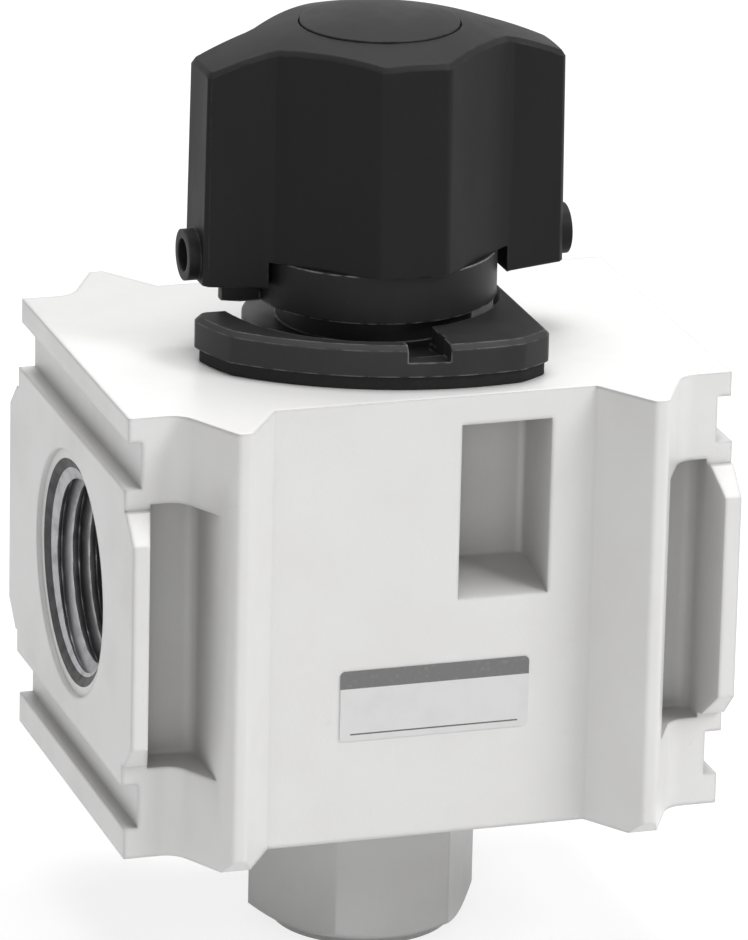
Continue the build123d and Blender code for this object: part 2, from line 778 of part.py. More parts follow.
nodes = {
    "body": make_body(),
    "bonnet": make_bonnet(),
    "bonnet_gasket": make_bonnet_gasket(),
    "bonnet_seal": make_bonnet_seal(),
    "guide_bush": make_guide_bush(),
    "rod_seal": make_rod_seal(),
    "supply_seat": make_supply_seat(),
    "seat_seal": make_seat_seal(),
    "exhaust_fitting": make_exhaust_fitting(),
    "fitting_seal": make_fitting_seal(),
    "spring_guide": make_spring_guide(),
    "label_plate": make_label(),
    "return_spring": make_return_spring(),
    "stem": make_stem(),
    "poppet": make_poppet(),
    "supply_disc": make_seal_disc(supply_seal_top - seal_thickness),
    "exhaust_disc": make_seal_disc(exhaust_seal_bottom),
    "poppet_washer": make_poppet_washer(),
    "knob": make_knob(),
    "knob_cap": make_knob_cap(),
    "knob_sleeve": make_knob_sleeve(),
    "lock_tab": make_lock_tab(),
    "knob_washer": make_knob_washer(),
    "knob_screw": make_knob_screw(),
}

os.makedirs("parts", exist_ok=True)
for name, solid in nodes.items():
    export_step(solid, f"parts/{name}.step")
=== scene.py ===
"""Finishes, port threads, studio and camera for the residual pressure exhaust valve.

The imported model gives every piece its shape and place: metres, +Z up along the knob axis,
+X from the inlet port to the outlet port, -Y towards the label side.
"""
import json
import logging
import math
from dataclasses import dataclass, field
from enum import Enum

import bmesh
import bpy
import numpy as np
from mathutils import Matrix, Vector

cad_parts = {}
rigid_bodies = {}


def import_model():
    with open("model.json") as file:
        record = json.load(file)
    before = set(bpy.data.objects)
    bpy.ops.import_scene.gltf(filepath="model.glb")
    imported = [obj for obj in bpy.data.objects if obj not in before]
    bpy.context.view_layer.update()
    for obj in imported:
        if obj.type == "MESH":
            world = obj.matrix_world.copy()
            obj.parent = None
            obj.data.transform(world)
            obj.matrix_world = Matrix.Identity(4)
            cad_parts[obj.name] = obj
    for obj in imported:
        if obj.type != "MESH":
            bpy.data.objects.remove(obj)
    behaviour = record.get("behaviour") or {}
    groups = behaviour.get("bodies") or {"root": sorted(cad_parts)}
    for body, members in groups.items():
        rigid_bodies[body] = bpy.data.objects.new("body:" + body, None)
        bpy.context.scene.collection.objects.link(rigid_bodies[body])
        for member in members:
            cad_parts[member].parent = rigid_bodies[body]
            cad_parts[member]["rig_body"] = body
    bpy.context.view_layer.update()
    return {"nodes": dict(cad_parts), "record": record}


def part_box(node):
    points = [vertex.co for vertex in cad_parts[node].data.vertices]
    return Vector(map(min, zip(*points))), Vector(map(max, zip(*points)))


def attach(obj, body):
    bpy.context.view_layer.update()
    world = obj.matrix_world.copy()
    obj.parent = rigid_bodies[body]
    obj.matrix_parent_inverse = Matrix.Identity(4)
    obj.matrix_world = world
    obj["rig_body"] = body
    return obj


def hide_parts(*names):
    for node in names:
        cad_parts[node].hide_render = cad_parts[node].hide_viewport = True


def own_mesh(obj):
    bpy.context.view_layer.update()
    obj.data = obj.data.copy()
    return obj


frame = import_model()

MM = 0.001
GRID_MERGE = MM / 10000
NODE_MERGE = MM / 1000
LOG = logging.getLogger("valve")


class Assembly(Enum):
    """The bodies that the pieces ride on."""

    HOUSING = "housing"
    SPINDLE = "spindle"
    HANDLE = "handle"


class Side(Enum):
    """The two ends of the body, by the sign of X."""

    INLET = -1
    OUTLET = 1


# Meshes


def grid_faces(rows: int, columns: int, wrap_rows: bool, wrap_columns: bool) -> np.ndarray:
    """Quads between neighbouring points of a grid.

    Args:
        rows: number of points along the first parameter.
        columns: number of points along the second parameter.
        wrap_rows: whether the last row joins the first.
        wrap_columns: whether the last column joins the first.

    Returns:
        An array of four point numbers for each quad.
    """
    i = np.arange(rows if wrap_rows else rows - 1)
    j = np.arange(columns if wrap_columns else columns - 1)
    low_i, low_j = np.meshgrid(i, j, indexing="ij")
    next_i = (low_i + 1) % rows
    next_j = (low_j + 1) % columns
    corners = (low_i * columns + low_j, next_i * columns + low_j,
               next_i * columns + next_j, low_i * columns + next_j)
    return np.stack(corners, axis=-1).reshape(-1, 4)


def surface_object(name: str, points: np.ndarray, wrap_rows: bool, wrap_columns: bool) -> bpy.types.Object:
    """Makes a mesh object from a grid of points, with merged poles and faces that point outwards.

    Args:
        name: the object's name.
        points: rows by columns by three coordinates, in metres.
        wrap_rows: whether the surface closes along its rows.
        wrap_columns: whether the surface closes along its columns.

    Returns:
        The new object, at the origin.
    """
    rows, columns = points.shape[:2]
    mesh = bpy.data.meshes.new(name)
    mesh.from_pydata(points.reshape(-1, 3), [], grid_faces(rows, columns, wrap_rows, wrap_columns))
    tidy_mesh(mesh, GRID_MERGE)
    piece = bpy.data.objects.new(name, mesh)
    bpy.context.scene.collection.objects.link(piece)
    return piece


def tidy_mesh(mesh: bpy.types.Mesh, merge: float) -> None:
    """Merges doubled points, drops empty faces and turns every face outwards.

    Args:
        mesh: the mesh to change.
        merge: points closer than this are merged, in metres.
    """
    work = bmesh.new()
    work.from_mesh(mesh)
    bmesh.ops.remove_doubles(work, verts=work.verts, dist=merge)
    bmesh.ops.dissolve_degenerate(work, edges=work.edges, dist=merge)
    bmesh.ops.recalc_face_normals(work, faces=work.faces)
    work.to_mesh(mesh)
    work.free()


def join_flats(mesh: bpy.types.Mesh, flatness: float = 0.3) -> None:
    """Joins neighbouring faces that lie in one plane.

    Args:
        mesh: the mesh to change.
        flatness: the largest angle between joined faces, in degrees.
    """
    work = bmesh.new()
    work.from_mesh(mesh)
    bmesh.ops.dissolve_limit(work, angle_limit=math.radians(flatness), verts=work.verts, edges=work.edges)
    work.to_mesh(mesh)
    work.free()


def smooth_with_creases(piece: bpy.types.Object, crease: float = 32.0) -> None:
    """Shades a piece smooth, keeps edges above an angle sharp and lets large flats rule the normals.

    Args:
        piece: the object to shade.
        crease: the angle in degrees above which an edge stays sharp.
    """
    join_flats(piece.data)
    piece.data.shade_smooth()
    piece.data.set_sharp_from_angle(angle=math.radians(crease))
    weighting = piece.modifiers.new("flat_first", "WEIGHTED_NORMAL")
    weighting.keep_sharp = True


def merged_copy(node: str, name: str) -> bpy.types.Object:
    """Copies a node's mesh with its loose triangles joined, to stand for that node.

    Args:
        node: the node to copy.
        name: the new object's name.

    Returns:
        The new object, which rides on the node's body and replaces the node.
    """
    source = frame["nodes"][node]
    corners = [vertex.co[:] for vertex in source.data.vertices]
    mesh = bpy.data.meshes.new(name)
    mesh.from_pydata(corners, [], [face.vertices[:] for face in source.data.polygons])
    tidy_mesh(mesh, NODE_MERGE)
    piece = bpy.data.objects.new(name, mesh)
    bpy.context.scene.collection.objects.link(piece)
    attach(piece, source["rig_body"])
    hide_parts(node)
    return piece


def smooth_copy(node: str, name: str, crease: float = 32.0) -> bpy.types.Object:
    """Copies a node's mesh with joined triangles and smooth shading, to stand for that node.

    Args:
        node: the node to copy.
        name: the new object's name.
        crease: the angle in degrees above which an edge stays sharp.

    Returns:
        The new object, which rides on the node's body and replaces the node.
    """
    piece = merged_copy(node, name)
    smooth_with_creases(piece, crease)
    return piece


def packed_mount(name: str) -> dict:
    """The record's entry of a mount, by its name."""
    return next(mount for mount in frame["record"]["mounts"] if mount["name"] == name)


@dataclass(frozen=True)
class Axis:
    """A line with a start point, a direction and two directions square to it, in metres."""

    start: np.ndarray
    along: np.ndarray
    first: np.ndarray
    second: np.ndarray

    @classmethod
    def through(cls, start: tuple, along: tuple) -> "Axis":
        """Makes an axis through a point, with square directions of its own choice.

        Args:
            start: the start point, in metres.
            along: the direction, of any length.

        Returns:
            The axis.
        """
        direction = Vector(along).normalized()
        first = direction.orthogonal().normalized()
        second = direction.cross(first)
        return cls(*(np.array(v, float) for v in (start, direction, first, second)))

    def place(self, radius: np.ndarray, angle: np.ndarray, depth: np.ndarray) -> np.ndarray:
        """Points at a radius and angle about the axis, at a depth along it.

        Args:
            radius: distances from the axis.
            angle: angles about the axis, in radians.
            depth: distances along the axis from its start.

        Returns:
            The points, with three coordinates in the last place.
        """
        ring = np.cos(angle)[..., None] * self.first + np.sin(angle)[..., None] * self.second
        return self.start + depth[..., None] * self.along + radius[..., None] * ring


def turned(name: str, axis: Axis, profile: list[tuple], steps: int) -> bpy.types.Object:
    """Turns a profile about an axis.

    The point at profile place i and angle t is axis(depth_i) + radius_i * (cos t, sin t).

    Args:
        name: the object's name.
        axis: the axis of the turning.
        profile: pairs of radius and depth, in metres.
        steps: how many points go round.

    Returns:
        The new object.
    """
    radius, depth = np.array(profile, float).T
    angle = np.linspace(0.0, math.tau, steps, endpoint=False)
    points = axis.place(*np.broadcast_arrays(radius[:, None], angle[None, :], depth[:, None]))
    return surface_object(name, points, False, True)


def subtract(piece: bpy.types.Object, cutter: bpy.types.Object) -> None:
    """Cuts one closed mesh out of another and removes the cutter.

    Args:
        piece: the object that is cut.
        cutter: the object that is taken away.
    """
    cut = piece.modifiers.new("cut", "BOOLEAN")
    cut.operation = "DIFFERENCE"
    cut.solver = "EXACT"
    cut.object = cutter
    bpy.context.view_layer.update()
    shaped = piece.evaluated_get(bpy.context.evaluated_depsgraph_get())
    result = bpy.data.meshes.new_from_object(shaped)
    piece.modifiers.remove(cut)
    piece.data = result
    bpy.data.objects.remove(cutter)


@dataclass(frozen=True)
class PipeThread:
    """An inside pipe thread, cut as a lining that fills a plain hole of a larger radius."""

    pitch: float
    minor_radius: float
    length: float
    mouth_radius: float
    mouth_depth: float
    form_share: float = 0.64
    backing: float = 0.12 * MM
    softness: float = 0.965
    crease: float = 40.0
    samples_per_pitch: int = 18
    steps: int = 144

    @property
    def depth(self) -> float:
        """Height of the 55 degree thread form, a fixed share of the pitch."""
        return self.form_share * self.pitch

    @property
    def hole_radius(self) -> float:
        """Radius of the plain hole that takes the lining."""
        return self.minor_radius + self.depth + self.backing

    @property
    def slope(self) -> float:
        """How much the countersink narrows with depth, from its mouth to the minor radius."""
        return (self.mouth_radius - self.minor_radius) / self.mouth_depth

    @property
    def lip_depth(self) -> float:
        """Depth at which the countersink is as wide as the hole."""
        return (self.mouth_radius - self.hole_radius) / self.slope

    def wall(self, depth: np.ndarray, angle: np.ndarray) -> np.ndarray:
        """Radius of the threaded wall.

        The phase is depth over pitch less the share of a full turn. The form is a triangle wave of
        that phase, softened at crest and root by taking the arc sine of a slightly shrunk sine. It
        fades to the minor radius over the last pitch, and the countersink wins where it is wider.

        Args:
            depth: distances from the mouth.
            angle: angles about the axis, in radians.

        Returns:
            The radius at each point.
        """
        phase = math.tau * depth / self.pitch - angle
        wave = np.arcsin(self.softness * np.sin(phase)) / math.asin(self.softness)
        fade = np.clip((self.length - depth) / self.pitch, 0.0, 1.0)
        thread = self.minor_radius + self.depth * fade * (0.5 + 0.5 * wave)
        return np.maximum(thread, self.mouth_radius - self.slope * depth)

    def lining(self, name: str, axis: Axis) -> bpy.types.Object:
        """Builds the lining: the threaded wall inside, a plain wall outside, closed at both ends.

        Args:
            name: the object's name.
            axis: the thread's axis, from the mouth inwards.

        Returns:
            The new object.
        """
        start = self.lip_depth
        count = int((self.length - start) / self.pitch * self.samples_per_pitch)
        depth = np.linspace(start, self.length, count)
        angle = np.linspace(0.0, math.tau, self.steps, endpoint=False)
        depths, angles = np.meshgrid(depth, angle, indexing="ij")
        inside = axis.place(np.minimum(self.wall(depths, angles), self.hole_radius), angles, depths)
        outer = np.full((2, self.steps), self.hole_radius)
        ends = np.array([[self.length], [start + self.backing]]) * np.ones((2, self.steps))
        outside = axis.place(outer, np.stack([angle, angle]), ends)
        piece = surface_object(name, np.concatenate([inside, outside]), True, True)
        smooth_with_creases(piece, self.crease)
        return piece

    def cut_into(self, piece: bpy.types.Object, axis: Axis) -> None:
        """Cuts the countersink and the plain hole for the lining into a piece.

        Args:
            piece: the object that carries the thread.
            axis: the thread's axis, from the mouth inwards.
        """
        radius = self.hole_radius
        profile = [(0.0, 0.0), (self.mouth_radius, 0.0), (radius, self.lip_depth),
                   (radius, self.length), (0.0, self.length)]
        subtract(piece, turned("cutter", axis, profile, self.steps))


# Finishes


class NodeGraph:
    """A material's nodes, with short ways to add and join them."""

    rays: int = 6
    edge_start: float = 0.995
    edge_full: float = 0.86
    open_face: float = 0.80

    def __init__(self, name: str) -> None:
        """Starts a material with a surface shader and its output.

        Args:
            name: the material's name.
        """
        self.material = bpy.data.materials.new(name)
        self.material.use_nodes = True
        self.tree = self.material.node_tree
        self.tree.nodes.clear()
        self.output = self.tree.nodes.new("ShaderNodeOutputMaterial")
        self.shader = self.tree.nodes.new("ShaderNodeBsdfPrincipled")
        self.join(self.shader.outputs["BSDF"], self.output.inputs["Surface"])
        self.place = self.tree.nodes.new("ShaderNodeTexCoord").outputs["Object"]

    def join(self, source: bpy.types.NodeSocket, target: bpy.types.NodeSocket) -> None:
        """Links an output to an input."""
        self.tree.links.new(source, target)

    def add(self, kind: str, settings: dict | None = None, **inputs: object) -> bpy.types.Node:
        """Adds a node.

        Args:
            kind: the node's type.
            settings: attributes to set on the node.
            **inputs: input values or sockets, by input name with underscores for spaces.

        Returns:
            The new node.
        """
        node = self.tree.nodes.new(kind)
        for key, value in (settings or {}).items():
            setattr(node, key, value)
        for key, value in inputs.items():
            self.feed(node.inputs[key.replace("_", " ")], value)
        return node

    def feed(self, target: bpy.types.NodeSocket, value: object) -> None:
        """Sets an input's value, or links it where the value is a socket.

        Args:
            target: the input.
            value: a number, a colour or a socket.
        """
        if isinstance(value, bpy.types.NodeSocket):
            self.join(value, target)
        else:
            target.default_value = value

    def surface(self, **inputs: object) -> None:
        """Feeds the surface shader.

        Args:
            **inputs: input values or sockets, by input name with underscores for spaces.
        """
        for key, value in inputs.items():
            self.feed(self.shader.inputs[key.replace("_", " ")], value)

    def noise(self, size: float, detail: float = 3.0, roughness: float = 0.55,
              stretch: tuple | None = None) -> bpy.types.NodeSocket:
        """Noise with lumps of a given size.

        Args:
            size: the width of a lump, in metres.
            detail: how many finer layers are added.
            roughness: how strong the finer layers are.
            stretch: scale along each axis, for drawn-out lumps.

        Returns:
            The noise value's socket.
        """
        place = self.place
        if stretch is not None:
            place = self.add("ShaderNodeMapping", Vector=place, Scale=stretch).outputs["Vector"]
        node = self.add("ShaderNodeTexNoise", Vector=place, Scale=1.0 / size, Detail=detail,
                        Roughness=roughness)
        return node.outputs["Fac"]

    def ramp(self, value: bpy.types.NodeSocket, low: float, high: float, to_low: float = 0.0,
             to_high: float = 1.0) -> bpy.types.NodeSocket:
        """Maps one range of a value to another, smoothly and without overshoot.

        Args:
            value: the value's socket.
            low: the value that gives to_low.
            high: the value that gives to_high.
            to_low: the result at low.
            to_high: the result at high.

        Returns:
            The result's socket.
        """
        node = self.add("ShaderNodeMapRange", {"interpolation_type": "SMOOTHSTEP"}, Value=value,
                        From_Min=low, From_Max=high, To_Min=to_low, To_Max=to_high)
        return node.outputs["Result"]

    def arithmetic(self, operation: str, first: object, second: object) -> bpy.types.NodeSocket:
        """Joins two values by an arithmetic operation.

        Args:
            operation: the Math node's operation.
            first: a number or a socket.
            second: a number or a socket.

        Returns:
            The result's socket.
        """
        node = self.add("ShaderNodeMath", {"operation": operation})
        self.feed(node.inputs[0], first)
        self.feed(node.inputs[1], second)
        return node.outputs["Value"]

    def times(self, first: object, second: object) -> bpy.types.NodeSocket:
        """Multiplies two values."""
        return self.arithmetic("MULTIPLY", first, second)

    def blend(self, share: bpy.types.NodeSocket, low: object, high: object) -> bpy.types.NodeSocket:
        """Mixes two colours by a share.

        Args:
            share: the share of the second colour.
            low: the first colour, a grey's value or a socket.
            high: the second colour, a grey's value or a socket.

        Returns:
            The colour's socket.
        """
        node = self.add("ShaderNodeMix", {"data_type": "RGBA"})
        self.feed(node.inputs["Factor"], share)
        self.feed(node.inputs["A"], grey(low) if isinstance(low, float) else low)
        self.feed(node.inputs["B"], grey(high) if isinstance(high, float) else high)
        return node.outputs["Result"]

    def rounded_edges(self, radius: float) -> tuple:
        """Softened normals at edges, and a mask that is 1 on the edges.

        Args:
            radius: how far the rounding reaches from an edge, in metres.

        Returns:
            The normal's socket and the mask's socket.
        """
        soft = self.add("ShaderNodeBevel", {"samples": self.rays}, Radius=radius).outputs["Normal"]
        flat = self.add("ShaderNodeNewGeometry").outputs["Normal"]
        likeness = self.add("ShaderNodeVectorMath", {"operation": "DOT_PRODUCT"})
        self.join(soft, likeness.inputs[0])
        self.join(flat, likeness.inputs[1])
        return soft, self.ramp(likeness.outputs["Value"], self.edge_start, self.edge_full)

    def hollows(self, reach: float, openness: float) -> bpy.types.NodeSocket:
        """A mask that grows to 1 deep inside recesses and stays 0 on open faces.

        Args:
            reach: how far away a wall still counts, in metres.
            openness: the openness below which the mask is 1.

        Returns:
            The mask's socket.
        """
        node = self.add("ShaderNodeAmbientOcclusion", {"samples": self.rays, "only_local": True},
                        Distance=reach)
        return self.ramp(node.outputs["AO"], self.open_face, openness)

    def bump(self, height: bpy.types.NodeSocket, distance: float,
             normal: bpy.types.NodeSocket) -> bpy.types.NodeSocket:
        """Raises a surface by a height map.

        Args:
            height: the map, from 0 to 1.
            distance: the height of a full step, in metres.
            normal: the normal that the bump is added to.

        Returns:
            The new normal's socket.
        """
        return self.add("ShaderNodeBump", Distance=distance, Height=height, Normal=normal).outputs["Normal"]


def grey(value: float, warmth: float = 0.0) -> tuple:
    """A grey with a slight warm or cool cast, as a colour with full alpha."""
    return (value * (1.0 + warmth), value, value * (1.0 - warmth), 1.0)


@dataclass(frozen=True)
class Tone:
    """A grey that is a share of a finish's own value, with a warm cast."""

    share: float
    warmth: float = 0.0

    def of(self, value: float) -> tuple:
        """The grey for a finish of a given value."""
        return grey(value * self.share, self.warmth)


@dataclass(frozen=True)
class Patches:
    """Soft patches: noise of a lump size and detail, cut off between two levels."""

    size: float
    detail: float
    low: float
    high: float
    roughness: float = 0.55
    stretch: tuple | None = None

    def mask(self, graph: NodeGraph) -> bpy.types.NodeSocket:
        """A mask that is 0 between the patches and 1 in their middles.

        Args:
            graph: the material's nodes.

        Returns:
            The mask's socket.
        """
        pattern = graph.noise(self.size, self.detail, self.roughness, self.stretch)
        return graph.ramp(pattern, self.low, self.high)


@dataclass(frozen=True)
class Enamel:
    """Satin enamel on a casting: fine orange peel, faint handling marks, thinner paint at edges and painted
    shade in hollows.
    """

    name: str
    value: float
    soil: float
    gloss: float = 0.36
    gloss_spread: float = 0.10
    edge: float = 0.80 * MM
    edge_tone: float = 1.06
    edge_limit: float = 0.92
    pale_edge_share: float = 0.35
    clean_tone: Tone = Tone(1.0, 0.004)
    clouds: Patches = Patches(9.0 * MM, 4.0, 0.35, 0.75)
    cloud_tone: Tone = Tone(0.965, 0.010)
    smears: Patches = Patches(2.2 * MM, 6.0, 0.62, 0.80, 0.7)
    smear_tone: Tone = Tone(0.80, 0.02)
    specks: Patches = Patches(0.42 * MM, 2.0, 0.735, 0.78)
    speck_tone: Tone = Tone(0.55, 0.03)
    # Painted shade: the hollows darken towards a third of the paint's value.
    hollow_shade: float = 0.60
    hollow_shade_reach: float = 12.0 * MM
    hollow_shade_openness: float = 0.30
    hollow_shade_tone: Tone = Tone(0.35, 0.02)
    clear_coat: float = 0.12
    coat_roughness: float = 0.22
    peel_size: float = 0.55 * MM
    peel_detail: float = 2.0
    peel_height: float = 0.018 * MM

    def colour(self, graph: NodeGraph, clouds: bpy.types.NodeSocket,
               edges: bpy.types.NodeSocket) -> bpy.types.NodeSocket:
        """Lays smears, specks, painted shade in the hollows and pale edges over the paint.

        Args:
            graph: the material's nodes.
            clouds: the mask of the paint's own unevenness.
            edges: the mask of the edges.

        Returns:
            The colour's socket.
        """
        smears = graph.times(self.smears.mask(graph), self.soil)
        specks = graph.times(self.specks.mask(graph), self.soil)
        sunk = graph.hollows(self.hollow_shade_reach, self.hollow_shade_openness)
        exposed = graph.arithmetic("SUBTRACT", self.pale_edge_share, graph.times(sunk, self.pale_edge_share))
        paint = graph.blend(clouds, self.clean_tone.of(self.value), self.cloud_tone.of(self.value))
        paint = graph.blend(smears, paint, self.smear_tone.of(self.value))
        paint = graph.blend(specks, paint, self.speck_tone.of(self.value))
        # Painted shade in the hollows.
        paint = graph.blend(graph.times(sunk, self.hollow_shade), paint, self.hollow_shade_tone.of(self.value))
        pale = grey(min(self.value * self.edge_tone, self.edge_limit))
        return graph.blend(graph.times(edges, exposed), paint, pale)

    def material(self) -> bpy.types.Material:
        """Builds the finish.

        Returns:
            The new material.
        """
        graph = NodeGraph(self.name)
        clouds = self.clouds.mask(graph)
        normal, edges = graph.rounded_edges(self.edge)
        peel = graph.noise(self.peel_size, self.peel_detail)
        graph.surface(Base_Color=self.colour(graph, clouds, edges),
                      Roughness=graph.ramp(clouds, 0.0, 1.0, self.gloss, self.gloss + self.gloss_spread),
                      Coat_Weight=self.clear_coat,
                      Coat_Roughness=self.coat_roughness,
                      Normal=graph.bump(peel, self.peel_height, normal))
        return graph.material


@dataclass(frozen=True)
class MouldedPlastic:
    """Black moulded plastic: spark-eroded grain, faint flow clouds and paler edges, worn at the default
    value and a painted highlight where set lighter.
    """

    name: str
    value: float = 0.0065
    roughness: float = 0.50
    sheen_level: float = 0.17
    edge: float = 0.32 * MM
    # Pale edges: worn at the default value, a painted highlight where set lighter.
    wear_and_highlight_edge_value: float = 0.060
    pale_edge_share: float = 0.75
    edge_breaks: Patches = Patches(1.6 * MM, 3.0, 0.32, 0.62)
    flow: Patches = Patches(6.0 * MM, 4.0, 0.30, 0.75, 0.6, (1.0, 1.0, 0.35))
    flow_tone: Tone = Tone(1.5)
    flow_roughness: float = 0.09
    rubs: Patches = Patches(1.1 * MM, 5.0, 0.60, 0.78, 0.7)
    rub_tone: Tone = Tone(3.0)
    rub_share: float = 0.30
    grain_size: float = 0.16 * MM
    grain_detail: float = 2.0
    grain_roughness: float = 0.6
    grain_height: float = 0.010 * MM

    def material(self) -> bpy.types.Material:
        """Builds the finish.

        Returns:
            The new material.
        """
        graph = NodeGraph(self.name)
        flow = self.flow.mask(graph)
        normal, edges = graph.rounded_edges(self.edge)
        # Pale edges: wear, and a painted highlight where the edge value is set lighter.
        edge_wear_and_highlight = graph.times(edges, graph.times(self.edge_breaks.mask(graph), self.pale_edge_share))
        rubs = graph.times(self.rubs.mask(graph), self.rub_share)
        base = graph.blend(flow, self.value, self.flow_tone.of(self.value))
        rubbed = graph.blend(rubs, base, self.rub_tone.of(self.value))
        grain = graph.noise(self.grain_size, self.grain_detail, self.grain_roughness)
        dullest = self.roughness + self.flow_roughness
        graph.surface(Base_Color=graph.blend(edge_wear_and_highlight, rubbed, self.wear_and_highlight_edge_value),
                      Roughness=graph.ramp(flow, 0.0, 1.0, self.roughness, dullest),
                      Specular_IOR_Level=self.sheen_level,
                      Normal=graph.bump(grain, self.grain_height, normal))
        return graph.material


@dataclass(frozen=True)
class Rubber:
    """Matt black rubber with a fine mould grain and a little bloom."""

    name: str
    value: float = 0.009
    bloom: Patches = Patches(1.4 * MM, 5.0, 0.42, 0.80, 0.65)
    bloom_tone: Tone = Tone(2.2)
    roughness: float = 0.70
    bloom_roughness: float = 0.85
    sheen_level: float = 0.22
    edge: float = 0.15 * MM
    grain_size: float = 0.12 * MM
    grain_height: float = 0.008 * MM

    def material(self) -> bpy.types.Material:
        """Builds the finish.

        Returns:
            The new material.
        """
        graph = NodeGraph(self.name)
        bloom = self.bloom.mask(graph)
        normal, _ = graph.rounded_edges(self.edge)
        graph.surface(Base_Color=graph.blend(bloom, self.value, self.bloom_tone.of(self.value)),
                      Roughness=graph.ramp(bloom, 0.0, 1.0, self.roughness, self.bloom_roughness),
                      Specular_IOR_Level=self.sheen_level,
                      Normal=graph.bump(graph.noise(self.grain_size), self.grain_height, normal))
        return graph.material


class Lay(Enum):
    """The direction along which turning marks follow each other, as the Wave texture names it."""

    ALONG_X = "X"
    ALONG_Z = "Z"


@dataclass(frozen=True)
class TurnedMetal:
    """Bare metal off a lathe: fine rings square to the axis, smeared colour, slight tarnish and, where set,
    painted shade in the hollows.

    band_scale is the Wave texture's scale at which a band is one metre wide.
    """

    name: str
    colour: tuple
    roughness: float
    lay: Lay = Lay.ALONG_Z
    # Painted shade: a share above zero darkens the hollows towards a near-black grey.
    recess_shade: float = 0.0
    recess_shade_value: float = 0.010
    recess_shade_reach: float = 3.0 * MM
    recess_shade_openness: float = 0.25
    tarnish: Patches = Patches(1.8 * MM, 5.0, 0.35, 0.80)
    tarnish_tone: float = 0.72
    tarnish_roughness: float = 0.16
    mark: float = 0.09 * MM
    mark_waver: float = 0.6
    mark_detail: float = 2.0
    mark_height: float = 0.003 * MM
    band_scale: float = 0.32
    edge: float = 0.12 * MM

    def material(self) -> bpy.types.Material:
        """Builds the finish.

        Returns:
            The new material.
        """
        graph = NodeGraph(self.name)
        rings = graph.add("ShaderNodeTexWave", {"wave_type": "BANDS", "bands_direction": self.lay.value},
                          Vector=graph.place, Scale=self.band_scale / self.mark,
                          Distortion=self.mark_waver, Detail=self.mark_detail)
        tarnish = self.tarnish.mask(graph)
        dull = tuple(channel * self.tarnish_tone for channel in self.colour[:3]) + (1.0,)
        colour = graph.blend(tarnish, self.colour, dull)
        # Painted shade in the hollows.
        if self.recess_shade:
            sunk = graph.times(graph.hollows(self.recess_shade_reach, self.recess_shade_openness), self.recess_shade)
            colour = graph.blend(sunk, colour, self.recess_shade_value)
        dullest = self.roughness + self.tarnish_roughness
        normal, _ = graph.rounded_edges(self.edge)
        graph.surface(Base_Color=colour,
                      Metallic=1.0,
                      Roughness=graph.ramp(tarnish, 0.0, 1.0, self.roughness, dullest),
                      Normal=graph.bump(rings.outputs["Fac"], self.mark_height, normal))
        return graph.material


@dataclass(frozen=True)
class PrintedFilm:
    """Blank printed film: a pale sheet with a grey stripe along its top and a thin rule below."""

    name: str
    low: Vector
    high: Vector
    paper_value: float = 0.66
    aged_value: float = 0.63
    ageing: Patches = Patches(2.5 * MM, 4.0, 0.4, 0.8)
    stripe_share: float = 0.25
    stripe_value: float = 0.150
    rule_share: float = 0.085
    rule_width: float = 0.16 * MM
    rule_value: float = 0.11
    margin_share: float = 0.055
    worn_ink: Patches = Patches(0.5 * MM, 4.0, 0.50, 0.80, 0.6)
    ink_loss: float = 0.10
    roughness: float = 0.33
    crease_size: float = 3.0 * MM
    crease_detail: float = 2.0
    crease_height: float = 0.03 * MM
    edge: float = 0.05 * MM

    def band(self, graph: NodeGraph, place: bpy.types.NodeSocket, low: float,
             high: float) -> bpy.types.NodeSocket:
        """A mask that is 1 between two places.

        Args:
            graph: the material's nodes.
            place: the coordinate's socket.
            low: the lower edge, in metres.
            high: the upper edge, in metres.

        Returns:
            The mask's socket.
        """
        above = graph.arithmetic("GREATER_THAN", place, low)
        return graph.times(above, graph.arithmetic("LESS_THAN", place, high))

    def material(self) -> bpy.types.Material:
        """Builds the finish.

        Returns:
            The new material.
        """
        graph = NodeGraph(self.name)
        place = graph.add("ShaderNodeSeparateXYZ", Vector=graph.place).outputs
        height = self.high.z - self.low.z
        margin = self.margin_share * (self.high.x - self.low.x)
        rule_z = self.low.z + self.rule_share * height
        stripe = self.band(graph, place["Z"], self.high.z - self.stripe_share * height, self.high.z + MM)
        rule = self.band(graph, place["Z"], rule_z, rule_z + self.rule_width)
        inset = self.band(graph, place["X"], self.low.x + margin, self.high.x - margin)
        ink = graph.arithmetic("SUBTRACT", 1.0, graph.times(self.worn_ink.mask(graph), self.ink_loss))
        paper = graph.blend(self.ageing.mask(graph), self.paper_value, self.aged_value)
        headed = graph.blend(graph.times(stripe, ink), paper, self.stripe_value)
        ruled = graph.blend(graph.times(graph.times(rule, inset), ink), headed, self.rule_value)
        normal, _ = graph.rounded_edges(self.edge)
        creases = graph.noise(self.crease_size, self.crease_detail)
        graph.surface(Base_Color=ruled,
                      Roughness=self.roughness,
                      Normal=graph.bump(creases, self.crease_height, normal))
        return graph.material


# Sub-assemblies


@dataclass
class Part:
    """What every sub-assembly shares: dressing nodes, adding pieces and telling what was made."""

    body: Assembly
    made: list[str] = field(default_factory=list)

    def dress(self, node: str, material: bpy.types.Material) -> None:
        """Gives a shown node its finish.

        Args:
            node: the node's name.
            material: the finish.
        """
        slots = frame["nodes"][node].data.materials
        slots.clear()
        slots.append(material)
        self.made.append(node)

    def add(self, piece: bpy.types.Object, material: bpy.types.Material, slot: str) -> None:
        """Gives a new piece its finish and body.

        Args:
            piece: the new object.
            material: the finish.
            slot: the record's material slot, which is not used.
        """
        piece.data.materials.clear()
        piece.data.materials.append(material)
        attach(piece, self.body.value)
        self.made.append(piece.name)

    def report(self) -> None:
        """Logs every piece of the sub-assembly."""
        for name in self.made:
            LOG.info("%s: %s", type(self).__name__, name)


